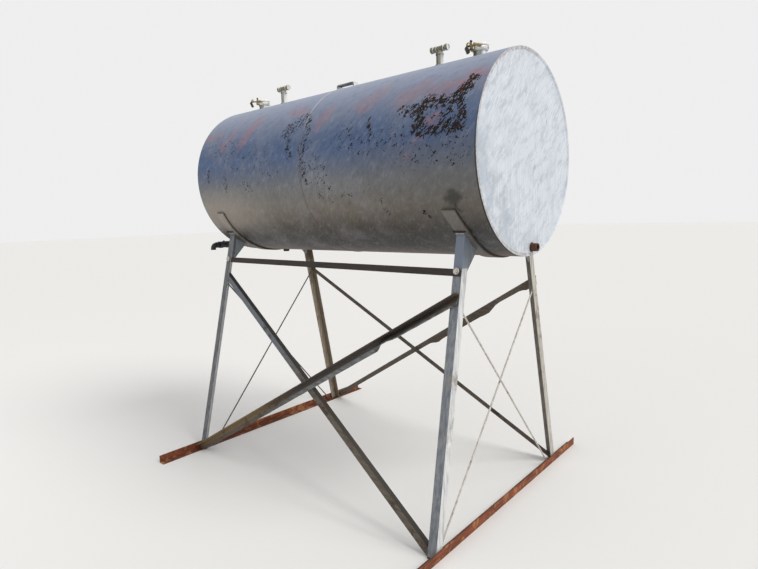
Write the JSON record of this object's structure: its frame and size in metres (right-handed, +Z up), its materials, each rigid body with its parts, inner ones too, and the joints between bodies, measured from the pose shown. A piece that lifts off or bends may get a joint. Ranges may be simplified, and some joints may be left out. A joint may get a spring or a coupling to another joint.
{
  "type": "elevated fuel storage tank",
  "caption": "Old aluminium-painted horizontal cylindrical fuel tank with flat heads, carried by saddle straps on a splayed, cross-braced angle-iron stand that rests on two skids.",
  "frame": {"origin": "on the floor under the middle of the assembly's bounding box", "axes": "+X along the tank towards its near head, +Y to its right side, +Z up"},
  "size_m": [2.4698, 2.04, 2.672],
  "materials": {
    "shell_paint": "old aluminium paint, chalky, brushed on, with rust and flaking",
    "head_paint": "bright aluminium paint with fine brush marks",
    "stand_paint": "aluminium paint over rolled steel, worn at the edges",
    "rust_red_steel": "rusted bare steel, orange to dark red",
    "weathered_steel": "brown weathered steel with traces of paint",
    "dark_steel": "dark brown weathered steel",
    "bare_rod": "dull pale bare rod",
    "galvanised": "dull zinc, weathered",
    "black_iron": "black malleable iron",
    "rusty_iron": "rusty brown iron"
  },
  "bodies": {
    "root": {"shell_near": "shell_paint", "shell_far": "shell_paint", "girth_weld": "shell_paint", "head_near": "head_paint", "head_far": "head_paint", "rim_weld_near": "shell_paint", "rim_weld_far": "shell_paint", "saddle_near": "shell_paint", "saddle_far": "shell_paint", "leg_near_left": "stand_paint", "leg_near_right": "stand_paint", "leg_far_left": "stand_paint", "leg_far_right": "stand_paint", "gusset_near_left": "stand_paint", "gusset_near_right": "stand_paint", "gusset_far_left": "stand_paint", "gusset_far_right": "stand_paint", "skid_near": "rust_red_steel", "skid_far": "rust_red_steel", "side_rail": "dark_steel", "brace_left_outer": "weathered_steel", "brace_left_inner": "weathered_steel", "brace_right_outer": "weathered_steel", "brace_right_inner": "weathered_steel", "rod_near_first": "bare_rod", "rod_near_second": "bare_rod", "rod_far_first": "bare_rod", "rod_far_second": "bare_rod", "fill_neck_near": "galvanised", "fill_body_near": "galvanised", "fill_lid_near": "galvanised", "fill_neck_far": "galvanised", "fill_body_far": "galvanised", "fill_lid_far": "galvanised", "vent_riser_near": "galvanised", "vent_tee_near": "galvanised", "vent_riser_far": "galvanised", "vent_tee_far": "galvanised", "lifting_lug": "shell_paint", "outlet_elbow": "black_iron", "outlet_pipe": "black_iron", "outlet_valve": "black_iron", "outlet_spout": "black_iron", "drain_coupling": "rusty_iron", "belly_plug": "rusty_iron"}
  },
  "joints": []
}
